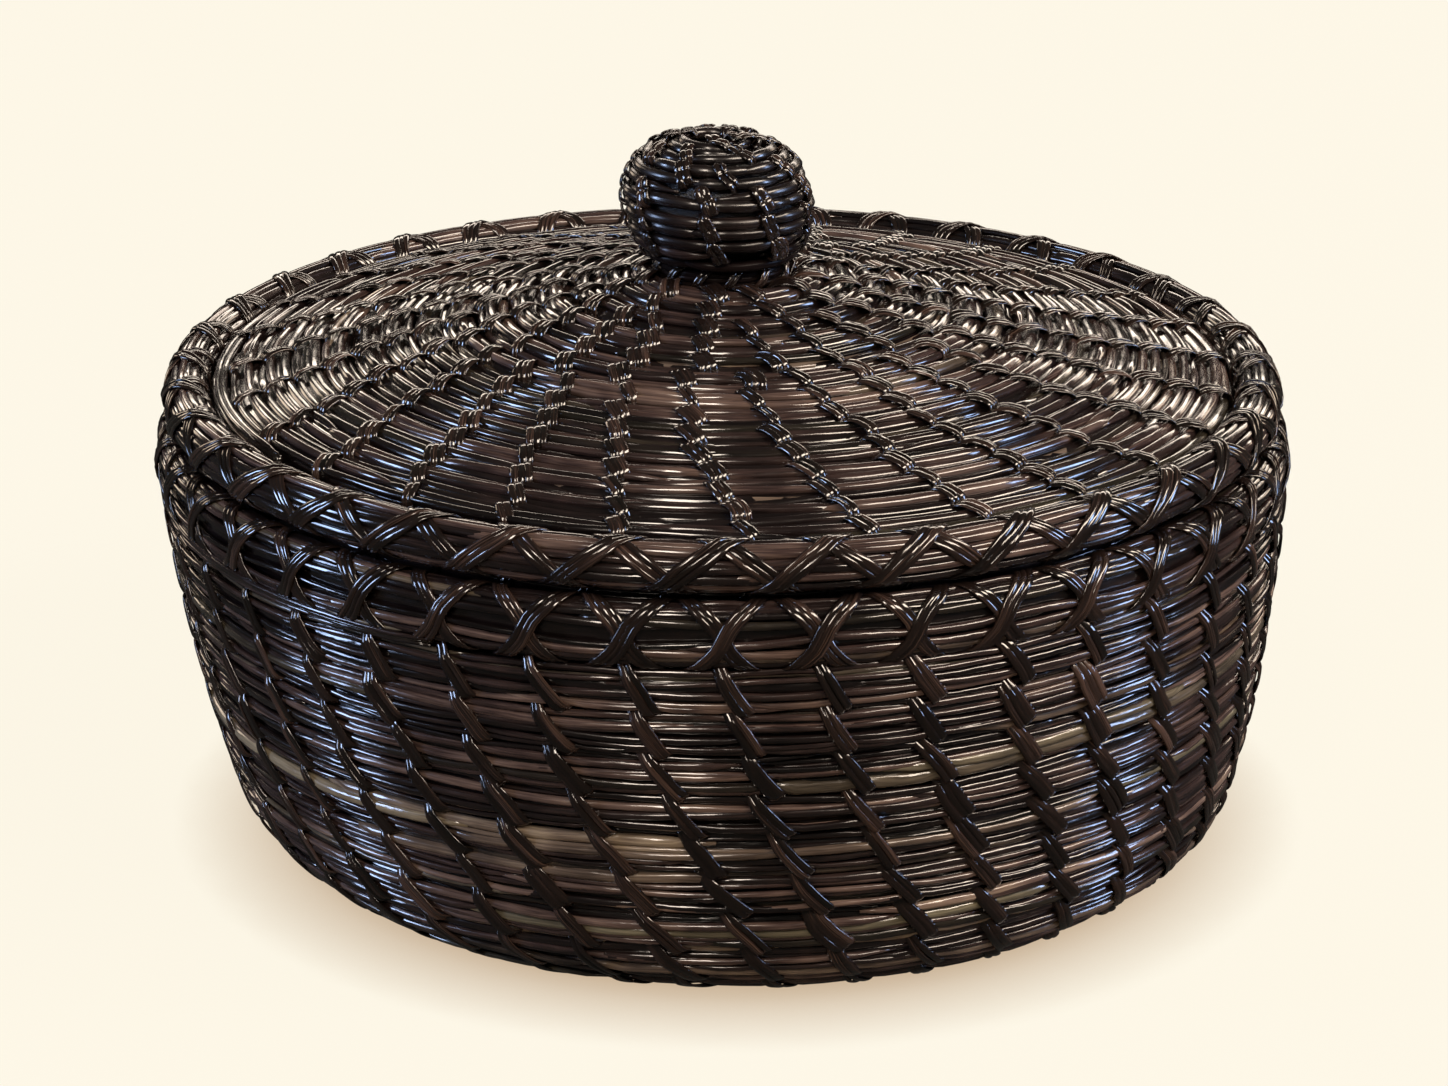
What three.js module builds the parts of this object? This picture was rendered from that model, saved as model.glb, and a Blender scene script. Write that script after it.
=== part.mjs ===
// A round roti basket coiled from dyed grass, with its lid, knob and lashed rims.
// Millimetres, +Z up. The origin is on the table, under the middle of the mouth. The front is at -Y.
import * as THREE from 'three';

// Fits
const CLEARANCE = 0.3;
const SEAM_GAP = 0.6;
const KNOB_SEAM_GAP = 0.5;
const MOUTH_CLEARANCE = 1.5;

// Basket body, measured on its outside
const FOOT_RADIUS = 92;
const FOOT_CORNER_RADIUS = 24;
const FOOT_CORNER_TURN = THREE.MathUtils.degToRad(75.8);
const WALL_BOW_RADIUS = 369;
const BASKET_HEIGHT = 96.2;
const BODY_BUNDLE_PITCH = 9.6;
const BODY_BUNDLE_THICKNESS = 7.8;
const FLOOR_CUT = 0.5;
const FOOT_SHIFT = 3.9;

// Lashed rims
const BASKET_RIM_HEIGHT = 12.2;
const BASKET_RIM_WIDTH = 7.4;
const BASKET_RIM_CROSSES = 40;
const LID_RIM_DIAMETER = 9.4;
const LID_RIM_INSET = 2.8;
const LID_RIM_CROSSES = 36;
const STRAND_WIDTH = 4.6;
const STRAND_THICKNESS = 0.5;

// Two strands of opposite hand cross at this angle above level on the outside of the bundle. As a strand
// goes round the bundle its pace along the rim is 1 + haste * cos(angle - quickest).
const BASKET_RIM_WEAVE = { crossing: 0, quickest: 0, haste: 0.6 };
const LID_RIM_WEAVE = {
  crossing: THREE.MathUtils.degToRad(70),
  quickest: THREE.MathUtils.degToRad(22),
  haste: 1,
};

// Lid
const LID_SLOPE = THREE.MathUtils.degToRad(13.6);
const LID_BUNDLE_PITCH = 7.1;
const LID_BUNDLE_THICKNESS = 6.2;
const LOCATING_RING_WIDTH = 7;
const LOCATING_RING_HEIGHT = 9;

// Knob
const KNOB_RADIUS = 21.2;
const KNOB_EQUATOR_RISE = 14.5;
const KNOB_CROWN_RISE = 15.1;
const KNOB_SHOULDER_RADIUS = 14.1;
const KNOB_UNDER_RADIUS = 19.2;
const KNOB_NECK_RADIUS = 14;
const KNOB_STEM_PITCH = 2.9;
const KNOB_STEM_THICKNESS = 2.8;
const KNOB_SHIFT = -1.2;

// How finely the forms are cut into facets
const STEPS_PER_TURN = 21;
const KNOB_STEPS_PER_TURN = 12;
const RING_SEGMENTS = 48;
const BUNDLE_CORNERS = 8;

// A coil starts and ends as a thin tail of grass, and leaves a small eye in the middle.
const COIL_EYE_RADIUS = 0.8;
const COIL_TAIL = 2;
const STRAND_LAYER = CLEARANCE + STRAND_THICKNESS;
const LASHING_ROOM = 2 * STRAND_LAYER;

// Sections of a bundle: along the wall from seam to seam, then outwards, both from -1 to 1.
const FLAT_FACED_BUNDLE = [[-1, 0], [-0.6, 1], [0.6, 1], [1, 0], [0, -1]];
const SINGLE_STEM = [[-1, 0], [0, 1], [1, 0], [0, -1]];

function grass(color) {
  return new THREE.MeshStandardMaterial({ color, roughness: 0.42, metalness: 0 });
}

function named(name, geometry, color) {
  const mesh = new THREE.Mesh(geometry, grass(color));
  mesh.name = name;
  return mesh;
}

function closedMesh(points, triangles) {
  const geometry = new THREE.BufferGeometry();
  geometry.setAttribute('position', new THREE.Float32BufferAttribute(points.flat(), 3));
  geometry.setIndex(triangles.flat());
  geometry.computeVertexNormals();
  return geometry;
}

// Joins equal sections into one tube. A capped tube has two ends; the other runs back into itself.
function tubeThrough(sections, capped, reversed) {
  const sides = sections[0].length;
  const triangles = [];
  const rounds = capped ? sections.length - 1 : sections.length;
  for (let i = 0; i < rounds; i += 1) {
    const here = i * sides;
    const next = ((i + 1) % sections.length) * sides;
    for (let j = 0; j < sides; j += 1) {
      const k = (j + 1) % sides;
      triangles.push([here + j, next + j, next + k], [here + j, next + k, here + k]);
    }
  }
  if (capped) {
    const last = (sections.length - 1) * sides;
    for (let j = 1; j < sides - 1; j += 1) {
      triangles.push([0, j, j + 1], [last, last + j + 1, last + j]);
    }
  }
  const facing = reversed ? triangles.map(([a, b, c]) => [a, c, b]) : triangles;
  return closedMesh(sections.flat(), facing);
}

// The path is the middle of the wall, drawn in (radius, height).
function pathLengthAtHeight(path, height, from, to) {
  const rising = path.getPoint(to).y > path.getPoint(from).y;
  let low = from;
  let high = to;
  for (let i = 0; i < 50; i += 1) {
    const middle = (low + high) / 2;
    const below = path.getPoint(middle).y < height;
    if (below === rising) low = middle;
    else high = middle;
  }
  return low * path.getLength();
}

// Measured on the corners: the least distance between parts of the coil half a turn or more apart.
function leastGap(sections, stepsPerTurn) {
  let least = Infinity;
  for (let i = 0; i < sections.length; i += 1) {
    for (let j = i + Math.ceil(stepsPerTurn / 2); j < sections.length; j += 1) {
      for (const [x, y, z] of sections[i]) {
        for (const [u, v, w] of sections[j]) {
          least = Math.min(least, Math.hypot(x - u, y - v, z - w));
        }
      }
    }
  }
  return least;
}

// One unbroken bundle that winds along a path from length `start` to length `end`, side by side with
// itself. `from` and `to` cut the same winding into pieces, counted in whole turns. Nothing of it goes
// below the table: the floor's turns are cut flat there.
function coil(name, form) {
  const { path, start, end, pitch, seamGap, thickness, section, outward, shift, steps } = form;
  const length = path.getLength();
  const turnsToFill = (end - start - 2 * COIL_TAIL - seamGap) / pitch + 1;
  const lastStep = Math.floor(Math.min(form.to ?? Infinity, turnsToFill) * steps);
  const firstStep = Math.round((form.from ?? 0) * steps);
  const sections = [];
  for (let i = firstStep; i <= lastStep; i += 1) {
    const turn = i / steps;
    const seam = start + COIL_TAIL + seamGap / 2 + pitch * turn;
    const low = Math.max(start, seam - pitch + seamGap / 2);
    const high = Math.min(end, seam - seamGap / 2);
    const middle = (low + high) / 2;
    const halfWidth = (high - low) / 2;
    const fullness = Math.min(1, (2 * halfWidth) / (pitch - seamGap));
    const depth = thickness * (0.5 + 0.5 * fullness);
    const point = path.getPoint(middle / length);
    const along = path.getTangent(middle / length);
    const normal = new THREE.Vector2(-along.y, along.x).multiplyScalar(outward);
    const halfCut = CLEARANCE / 2 / point.x;
    let angle = 2 * Math.PI * turn;
    if (turn === form.from) angle += halfCut;
    if (turn === form.to) angle -= halfCut;
    sections.push(section.map(([s, n]) => {
      const rise = thickness / 2 - (depth / 2) * (1 - n);
      const radius = point.x + along.x * s * halfWidth + normal.x * rise;
      const z = Math.max(0, point.y + along.y * s * halfWidth + normal.y * rise);
      return [radius * Math.cos(angle) + shift(z), radius * Math.sin(angle), z];
    }));
  }
  const gap = leastGap(sections, steps).toFixed(2);
  console.log(`${name}: ${((lastStep - firstStep) / steps).toFixed(1)} turns, least gap to itself ${gap} mm`);
  return tubeThrough(sections, true, outward > 0);
}

// The corners of an upright oval bundle round its own middle, with its flats at the stated sizes.
function ovalCorners(width, height) {
  const half = Math.PI / BUNDLE_CORNERS;
  return Array.from({ length: BUNDLE_CORNERS }, (_, k) => {
    const angle = (2 * k + 1) * half;
    const x = ((width / 2) * Math.cos(angle)) / Math.cos(half);
    const y = ((height / 2) * Math.sin(angle)) / Math.cos(half);
    return new THREE.Vector2(x, y);
  });
}

// The same outline, a stated distance further out on every side.
function grown(corners, distance) {
  return corners.map((corner, k) => {
    const before = corners[(k + corners.length - 1) % corners.length];
    const after = corners[(k + 1) % corners.length];
    const a = corner.clone().sub(before).normalize();
    const b = after.clone().sub(corner).normalize();
    const normals = new THREE.Vector2(a.y + b.y, -a.x - b.x);
    const share = distance / (1 + a.dot(b));
    return corner.clone().add(normals.multiplyScalar(share));
  });
}

function ring(corners, radius, z, lean) {
  const outline = [...corners, corners[0]];
  const profile = outline.map((c) => new THREE.Vector2(radius + c.x, z + c.y + lean * c.x));
  return new THREE.LatheGeometry(profile, RING_SEGMENTS).rotateX(Math.PI / 2);
}

// One strand that goes round a ring bundle again and again until it meets its own start.
function lashing(rim, crosses, hand, layer, weave) {
  const inner = grown(rim.corners, CLEARANCE + layer * STRAND_LAYER);
  const outer = grown(rim.corners, CLEARANCE + layer * STRAND_LAYER + STRAND_THICKNESS);
  const cornerAngle = (2 * Math.PI) / BUNDLE_CORNERS;
  const swing = (angle) => angle + weave.haste * Math.sin(angle - weave.quickest);
  const halfSpread = STRAND_WIDTH / 2 / rim.radius;
  const onRim = (corner, angle) => {
    const radius = rim.radius + corner.x;
    return [radius * Math.cos(angle), radius * Math.sin(angle), rim.z + corner.y];
  };
  const sections = [];
  for (let i = 0; i < BUNDLE_CORNERS * crosses; i += 1) {
    const k = (((hand * i) % BUNDLE_CORNERS) + BUNDLE_CORNERS) % BUNDLE_CORNERS;
    const roundBundle = (hand * i + 0.5) * cornerAngle;
    const angle = (hand * (swing(roundBundle) - swing(weave.crossing))) / crosses;
    const left = onRim(inner[k], angle - halfSpread);
    const ridge = onRim(outer[k], angle);
    const right = onRim(inner[k], angle + halfSpread);
    sections.push([left, ridge, right]);
  }
  return tubeThrough(sections, false, hand > 0);
}

// Basket body: the floor runs flat, turns up round the foot and goes on as the bowed wall.
const bodyHalf = BODY_BUNDLE_THICKNESS / 2;
const cornerEnd = FOOT_CORNER_TURN - Math.PI / 2;
const cornerRadius = FOOT_CORNER_RADIUS - bodyHalf;
const bowRadius = WALL_BOW_RADIUS - bodyHalf;
const cornerCentreZ = FOOT_CORNER_RADIUS - FLOOR_CUT;
const bowCentre = new THREE.Vector2(
  FOOT_RADIUS + (cornerRadius - bowRadius) * Math.cos(cornerEnd),
  cornerCentreZ + (cornerRadius - bowRadius) * Math.sin(cornerEnd),
);
const bodyPath = new THREE.Path();
bodyPath.moveTo(0, bodyHalf - FLOOR_CUT);
bodyPath.lineTo(FOOT_RADIUS, bodyHalf - FLOOR_CUT);
bodyPath.absarc(FOOT_RADIUS, cornerCentreZ, cornerRadius, -Math.PI / 2, cornerEnd, false);
bodyPath.absarc(bowCentre.x, bowCentre.y, bowRadius, cornerEnd, 0, false);
bodyPath.lineTo(bowCentre.x + bowRadius, bowCentre.y + BASKET_HEIGHT);

const basketRim = { z: BASKET_HEIGHT - LASHING_ROOM - BASKET_RIM_HEIGHT / 2 };
const rimAlongPath = pathLengthAtHeight(bodyPath, basketRim.z, 0, 1);
basketRim.radius = bodyPath.getPoint(rimAlongPath / bodyPath.getLength()).x;
basketRim.corners = ovalCorners(BASKET_RIM_WIDTH, BASKET_RIM_HEIGHT);

const bodyCoil = {
  path: bodyPath,
  start: COIL_EYE_RADIUS,
  end: rimAlongPath - BASKET_RIM_HEIGHT / 2 - LASHING_ROOM - CLEARANCE,
  pitch: BODY_BUNDLE_PITCH,
  seamGap: SEAM_GAP,
  thickness: BODY_BUNDLE_THICKNESS,
  section: FLAT_FACED_BUNDLE,
  outward: -1,
  shift: (z) => FOOT_SHIFT * (1 - z / basketRim.z),
  steps: STEPS_PER_TURN,
};
const flatTurns = Math.floor((FOOT_RADIUS - COIL_EYE_RADIUS) / BODY_BUNDLE_PITCH);

// Lid: its rim sits on the basket's rim, and its coil is a cone from the knob's neck to that rim.
const lidRimRoom = LID_RIM_DIAMETER / 2 + LASHING_ROOM;
const lidRim = {
  radius: basketRim.radius - LID_RIM_INSET,
  z: BASKET_HEIGHT + CLEARANCE + lidRimRoom,
  corners: ovalCorners(LID_RIM_DIAMETER, LID_RIM_DIAMETER),
};
const lidEdge = new THREE.Vector2(lidRim.radius - lidRimRoom - CLEARANCE, lidRim.z);
const lidEye = new THREE.Vector2(KNOB_NECK_RADIUS + CLEARANCE, 0);
lidEye.y = lidEdge.y + (lidEdge.x - lidEye.x) * Math.tan(LID_SLOPE);
const lidPath = new THREE.Path();
lidPath.moveTo(lidEye.x, lidEye.y);
lidPath.lineTo(lidEdge.x, lidEdge.y);
const lidSurfaceRise = LID_BUNDLE_THICKNESS / 2 / Math.cos(LID_SLOPE);

const lidCoil = {
  path: lidPath,
  start: 0,
  end: lidPath.getLength(),
  pitch: LID_BUNDLE_PITCH,
  seamGap: SEAM_GAP,
  thickness: LID_BUNDLE_THICKNESS,
  section: FLAT_FACED_BUNDLE,
  outward: 1,
  shift: () => 0,
  steps: STEPS_PER_TURN,
};

// The locating ring hangs under the lid, leans with it and drops into the mouth.
const ringRadius = basketRim.radius - BASKET_RIM_WIDTH / 2 - LASHING_ROOM
  - MOUTH_CLEARANCE - LOCATING_RING_WIDTH / 2;
const lidMiddleOverRing = lidEdge.y + (lidEdge.x - ringRadius) * Math.tan(LID_SLOPE);
const ringZ = lidMiddleOverRing - lidSurfaceRise - CLEARANCE - LOCATING_RING_HEIGHT / 2;
const ringCorners = ovalCorners(LOCATING_RING_WIDTH, LOCATING_RING_HEIGHT);

// Knob: a crown arc, a shoulder arc and an arc under the equator, each meeting the next smoothly.
const stemHalf = KNOB_STEM_THICKNESS / 2;
const neckZ = lidEye.y + lidSurfaceRise;
const equatorZ = neckZ + KNOB_EQUATOR_RISE;
const knobRadius = KNOB_RADIUS - stemHalf;
const crownRise = KNOB_CROWN_RISE - stemHalf;
const shoulderRadius = KNOB_SHOULDER_RADIUS - stemHalf;
const underRadius = KNOB_UNDER_RADIUS - stemHalf;
const shoulderX = knobRadius - shoulderRadius;
const crownRadius = (shoulderX ** 2 + crownRise ** 2 - shoulderRadius ** 2)
  / (2 * (crownRise - shoulderRadius));
const crownEnd = Math.atan2(crownRadius - crownRise, shoulderX);
const knobPath = new THREE.Path();
knobPath.moveTo(0, equatorZ + crownRise);
knobPath.absarc(0, equatorZ + crownRise - crownRadius, crownRadius, Math.PI / 2, crownEnd, true);
knobPath.absarc(shoulderX, equatorZ, shoulderRadius, crownEnd, 0, true);
knobPath.absarc(knobRadius - underRadius, equatorZ, underRadius, 0, -Math.PI / 3, true);
const knobEnd = pathLengthAtHeight(knobPath, neckZ + CLEARANCE + stemHalf, 0, 1);
const knobShift = (z) => (KNOB_SHIFT * (z - neckZ)) / KNOB_EQUATOR_RISE;

const knobCoil = {
  path: knobPath,
  start: COIL_EYE_RADIUS,
  end: knobEnd,
  pitch: KNOB_STEM_PITCH,
  seamGap: KNOB_SEAM_GAP,
  thickness: KNOB_STEM_THICKNESS,
  section: SINGLE_STEM,
  outward: 1,
  shift: knobShift,
  steps: KNOB_STEPS_PER_TURN,
};

// The wad of grass inside the winding, with a plug that fills the eye of the lid.
function knobCore() {
  const inset = stemHalf + CLEARANCE;
  const points = 8;
  const ball = Array.from({ length: points }, (_, i) => {
    const t = (knobEnd / knobPath.getLength()) * (1 - i / (points - 1));
    const point = knobPath.getPoint(t);
    const along = knobPath.getTangent(t);
    const last = i === points - 1;
    return new THREE.Vector2(last ? 0 : point.x + along.y * inset, point.y - along.x * inset);
  });
  const plugRadius = lidEye.x * Math.cos(Math.PI / STEPS_PER_TURN) - CLEARANCE;
  const plugBottom = neckZ - 2 * lidSurfaceRise;
  const outline = [
    new THREE.Vector2(0, plugBottom),
    new THREE.Vector2(plugRadius, plugBottom),
    new THREE.Vector2(plugRadius, neckZ),
    new THREE.Vector2(ball[0].x, neckZ),
    ...ball,
  ];
  const geometry = new THREE.LatheGeometry(outline, KNOB_STEPS_PER_TURN).rotateX(Math.PI / 2);
  const position = geometry.attributes.position;
  for (let i = 0; i < position.count; i += 1) {
    position.setX(i, position.getX(i) + Math.min(0, knobShift(Math.max(neckZ, position.getZ(i)))));
  }
  return geometry;
}

const basket = new THREE.Group();
basket.add(
  named('base_coil', coil('base_coil', { ...bodyCoil, to: flatTurns }), 0x2c2623),
  named('wall_coil', coil('wall_coil', { ...bodyCoil, from: flatTurns }), 0x35302c),
  named('basket_rim_bundle', ring(basketRim.corners, basketRim.radius, basketRim.z, 0), 0x38322e),
  named('basket_rim_lashing_under', lashing(basketRim, BASKET_RIM_CROSSES, -1, 0, BASKET_RIM_WEAVE), 0x211c1a),
  named('basket_rim_lashing_over', lashing(basketRim, BASKET_RIM_CROSSES, 1, 1, BASKET_RIM_WEAVE), 0x211c1a),
);

const lid = new THREE.Group();
lid.add(
  named('lid_coil', coil('lid_coil', lidCoil), 0x3a322e),
  named('lid_rim_bundle', ring(lidRim.corners, lidRim.radius, lidRim.z, 0), 0x342d29),
  named('lid_rim_lashing_under', lashing(lidRim, LID_RIM_CROSSES, -1, 0, LID_RIM_WEAVE), 0x211c1a),
  named('lid_rim_lashing_over', lashing(lidRim, LID_RIM_CROSSES, 1, 1, LID_RIM_WEAVE), 0x211c1a),
  named('lid_locating_ring', ring(ringCorners, ringRadius, ringZ, -Math.tan(LID_SLOPE)), 0x2c2623),
  named('knob_coil', coil('knob_coil', knobCoil), 0x2b2624),
  named('knob_core', knobCore(), 0x2c2623),
);

const rotiBasket = new THREE.Group();
rotiBasket.add(basket, lid);
export default rotiBasket;
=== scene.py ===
# %% [markdown]
# A round roti basket, coiled from dyed grass and closed with a lid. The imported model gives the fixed
# frame: where each coil, rim and ring is. This lesson dresses that frame with the real stuff, stem by
# stem and stitch by stitch. Lengths are worked out in millimetres and turned to metres at the end.

import math
from types import SimpleNamespace as Record

import bpy
import numpy as np
from mathutils import Matrix, Vector


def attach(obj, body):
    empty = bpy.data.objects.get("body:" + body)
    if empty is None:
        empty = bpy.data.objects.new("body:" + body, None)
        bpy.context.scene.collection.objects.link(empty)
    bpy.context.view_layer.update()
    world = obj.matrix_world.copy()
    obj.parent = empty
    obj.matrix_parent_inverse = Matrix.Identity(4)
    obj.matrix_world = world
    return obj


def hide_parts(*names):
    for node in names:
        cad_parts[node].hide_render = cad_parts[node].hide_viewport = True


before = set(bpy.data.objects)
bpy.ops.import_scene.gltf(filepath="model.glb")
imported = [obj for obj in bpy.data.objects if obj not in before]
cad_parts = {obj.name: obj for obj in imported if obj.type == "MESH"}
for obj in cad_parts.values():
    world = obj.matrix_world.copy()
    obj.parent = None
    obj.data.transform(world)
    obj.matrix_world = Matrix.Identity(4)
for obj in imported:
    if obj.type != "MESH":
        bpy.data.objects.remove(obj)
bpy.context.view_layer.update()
MM = 0.001
TURN = 2 * np.pi

# %% [markdown]
# The camera comes first, because every later choice is judged through it. The photograph was taken
# from a little above, with a long lens. Its place was found by fitting the rim, foot and knob.

# %% Camera
PHOTO_WIDTH = 1448
FOCAL_PIXELS = 4400
CAMERA_DISTANCE = 1000
CAMERA_TARGET = (0.41, 0, 63.01)
CAMERA_ELEVATION = math.radians(20.41)
CAMERA_ROLL = math.radians(0.15)
SENSOR = 36

back = Vector((0, -math.cos(CAMERA_ELEVATION), math.sin(CAMERA_ELEVATION)))
level_right = Vector((1, 0, 0))
level_up = back.cross(level_right)
right = math.cos(CAMERA_ROLL) * level_right + math.sin(CAMERA_ROLL) * level_up
up = math.cos(CAMERA_ROLL) * level_up - math.sin(CAMERA_ROLL) * level_right
place = (Vector(CAMERA_TARGET) + CAMERA_DISTANCE * back) * MM


def show(name, data):
    """Puts an object with this data into the scene."""
    thing = bpy.data.objects.new(name, data)
    bpy.context.scene.collection.objects.link(thing)
    return thing


camera_data = bpy.data.cameras.new("camera")
camera_data.sensor_width = SENSOR
camera_data.lens = FOCAL_PIXELS / PHOTO_WIDTH * SENSOR
camera = show("camera", camera_data)
camera.matrix_world = Matrix.Translation(place) @ Matrix((right, up, back)).transposed().to_4x4()
bpy.context.scene.camera = camera
bpy.context.scene.view_settings.view_transform = "Standard"
print("lens", round(camera_data.lens, 2), "mm")

# %% [markdown]
# A material is a small graph. One function adds a node, sets it and links it, so that each recipe
# below reads as a list. Colours are written as they look on a screen and turned to linear light.


# %% Node and colour helpers
def linear(code):
    """sRGB to linear light: c / 12.92 below 0.04045, else ((c + 0.055) / 1.055) to the power 2.4."""
    parts = [int(code[i : i + 2], 16) / 255 for i in (1, 3, 5)]
    return [p / 12.92 if p <= 0.04045 else ((p + 0.055) / 1.055) ** 2.4 for p in parts] + [1.0]


def add(tree, kind, inputs=None, **settings):
    """Adds one node. An input is a node, whose first output is linked, a socket or a plain value."""
    node = tree.nodes.new("ShaderNode" + kind)
    for key, value in settings.items():
        setattr(node, key, value)
    for key, value in (inputs or {}).items():
        if isinstance(value, bpy.types.Node):
            value = value.outputs[0]
        if isinstance(value, bpy.types.NodeSocket):
            tree.links.new(value, node.inputs[key])
        else:
            node.inputs[key].default_value = value
    return node


def calculate(tree, operation, *values, clamp=False):
    """One sum. MULTIPLY_ADD is first * second + third, and clamp holds the result between 0 and 1."""
    return add(tree, "Math", dict(enumerate(values)), operation=operation, use_clamp=clamp)


def between(tree, value, low, high, start, end):
    """start + (end - start) * (value - low) / (high - low), held between start and end."""
    return add(tree, "MapRange", {0: value, 1: low, 2: high, 3: start, 4: end})


def blend(tree, factor, first, second):
    """The colour first * (1 - factor) + second * factor."""
    return add(tree, "Mix", {0: factor, 6: first, 7: second}, data_type="RGBA").outputs[2]


def new_material(name):
    material = bpy.data.materials.new(name)
    material.use_nodes = True
    material.node_tree.nodes.clear()
    return material, material.node_tree


# %% [markdown]
# The studio is a warm cream sweep. The camera sees it at a fixed cream, and reflections see it dimmer,
# as in a room that is dark behind the camera. Where the basket closes the floor off from the air, a
# shadow is painted into that fixed cream, and the floor takes a little of the lamps' light, so that both
# kinds of shadow show.

# %% Floor and world
CREAM = "#fdf7e7"
PAINTED_SHADOW_CREAM = (0.58, 0.44, 0.30)
OPEN_CREAM = (0.958, 0.901, 0.768)
FLOOR_PAINT = (0.025, 0.028, 0.032)
BOUNCE_PAINT = "#9a8f7f"
REFLECTED_CREAM = 0.05
FILL_COLOUR = "#fff8ee"
FILL_STRENGTH = 0.05
SHADOW_REACH = 21
SHADOW_SAMPLES = 16
FLOOR_HALF = 3000


def by_ray(tree, lighting, seen, mirrored):
    """One shader for the camera, also through clear material, one for reflections, one for other light."""
    path = add(tree, "LightPath")
    straight = calculate(tree, "MAXIMUM", path.outputs["Is Camera Ray"], path.outputs["Is Transmission Ray"])
    shown = add(tree, "MixShader", {0: straight, 1: lighting, 2: seen})
    return add(tree, "MixShader", {0: path.outputs["Is Glossy Ray"], 1: shown, 2: mirrored})


floor_paint, tree = new_material("matt_paper_sweep")
# Painted shadow: ambient occlusion mixes the glow from the open cream to the darker one near the basket.
openness = add(tree, "AmbientOcclusion", {"Distance": SHADOW_REACH * MM}, samples=SHADOW_SAMPLES)
cream = blend(tree, openness.outputs["AO"], (*PAINTED_SHADOW_CREAM, 1), (*OPEN_CREAM, 1))
glow = add(tree, "Emission", {"Color": cream, "Strength": 1.0})
paper = add(tree, "BsdfDiffuse", {"Color": (*FLOOR_PAINT, 1)})
seen = add(tree, "AddShader", {0: glow, 1: paper})
bounce = add(tree, "BsdfDiffuse", {"Color": linear(BOUNCE_PAINT)})
dim = add(tree, "Emission", {"Color": linear(CREAM), "Strength": REFLECTED_CREAM})
add(tree, "OutputMaterial", {"Surface": by_ray(tree, bounce, seen, dim)})

floor_mesh = bpy.data.meshes.new("floor")
corners = np.array([[-1, -1, 0], [1, -1, 0], [1, 1, 0], [-1, 1, 0]]) * FLOOR_HALF * MM
floor_mesh.from_pydata(corners.tolist(), [], [[0, 1, 2, 3]])
floor_mesh.materials.append(floor_paint)
floor = show("floor", floor_mesh)

world = bpy.data.worlds.new("studio")
bpy.context.scene.world = world
world.use_nodes = True
tree = world.node_tree
tree.nodes.clear()
skies = [
    add(tree, "Background", {"Color": linear(colour), "Strength": strength})
    for colour, strength in ((FILL_COLOUR, FILL_STRENGTH), (CREAM, 1.0), (CREAM, REFLECTED_CREAM))
]
add(tree, "OutputWorld", {"Surface": by_ray(tree, *skies)})
print("floor", 2 * FLOOR_HALF * MM, "m across")

# %% [markdown]
# Glossy stems show their lamps as bright lines, so the lamps are soft boxes where those lines say they
# stood: a wide warm key to the right, a narrow one near the camera and a tall cool one on either side.
# Three warm ones low behind the basket show in the grazing faces of the lid's far half.

# %% Lamps
# name, angle to the right of the camera, height angle, width and height as seen, radiance, colour
LAMPS = [
    ("key_box", 62, 42, 46, 13, 19.0, "#ffecd8"),
    ("front_box", -14, 42, 10, 22, 22.0, "#ffeedd"),
    ("left_box", -84, 14, 11, 26, 24.0, "#b4ccf8"),
    ("right_box", 86, 13, 11, 22, 20.0, "#aec8f8"),
    ("back_box", 174, 25, 60, 6, 9.5, "#ffeedd"),
    ("left_back_box", -138, 12, 12, 18, 4.0, "#ffe6cc"),
    ("right_back_box", 138, 12, 10, 14, 4.5, "#ffe6cc"),
]
LAMP_DISTANCE = 3000
LAMP_TARGET = Vector((0, 0, 70)) * MM

for name, side, height, wide, high, radiance, colour in LAMPS:
    lamp_data = bpy.data.lights.new(name, "AREA")
    lamp_data.shape = "RECTANGLE"
    lamp_data.size = 2 * LAMP_DISTANCE * math.tan(math.radians(wide / 2)) * MM
    lamp_data.size_y = 2 * LAMP_DISTANCE * math.tan(math.radians(high / 2)) * MM
    lamp_data.energy = radiance * math.pi * lamp_data.size * lamp_data.size_y
    lamp_data.color = linear(colour)[:3]
    lamp = show(name, lamp_data)
    around = math.radians(side)
    above = math.radians(height)
    way = Vector((math.sin(around) * math.cos(above), -math.cos(around) * math.cos(above), math.sin(above)))
    lamp.location = LAMP_TARGET + way * LAMP_DISTANCE * MM
    lamp.rotation_euler = way.to_track_quat("Z", "Y").to_euler()
print("lamps:", len(LAMPS))

# %% [markdown]
# The stems are dyed grass: round, dried, dyed dark brown, and rubbed glossy by hands. The dye takes
# unevenly, so single stems stay tan or olive. Each stem carries its own tone as a vertex value, and
# streaks, dents and pits run along it, placed by its UV map, which is in metres. Low on the knob the
# varnish fades out: painted shade, for the knob's lower half, which the light from above does not reach.

# %% Dyed grass
# length along the stem and width across it, in millimetres
STREAK = (9.0, 0.45)
DENT = (6.5, 1.3)
PIT = (2.4, 0.9)
BLOTCH = 14.0
GLOSS_RANGE = 0.13
SKIN_IOR = 1.5
VARNISH = 0.8
# varnish left low on the knob, where its lower half is painted into shade
SHADE_VARNISH = 0.05
BROWNS = [(0, "#0c0808"), (0.25, "#1b1413"), (0.5, "#382b28"), (0.75, "#66544b"), (1, "#998671")]
OLIVES = [(0, "#110f0c"), (0.3, "#29251e"), (0.65, "#5a5444"), (1, "#8f876c")]


def grain(tree, size, detail):
    """Noise stretched along a strand by its UV map."""
    uv = add(tree, "UVMap", uv_map="grass")
    stretched = add(tree, "Mapping", {"Vector": uv, "Scale": (1000 / size[0], 1000 / size[1], 1)})
    return add(tree, "TexNoise", {"Vector": stretched, "Scale": 1.0, "Detail": detail})


def vertex_value(tree, name):
    return add(tree, "Attribute", attribute_name=name).outputs["Fac"]


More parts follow.
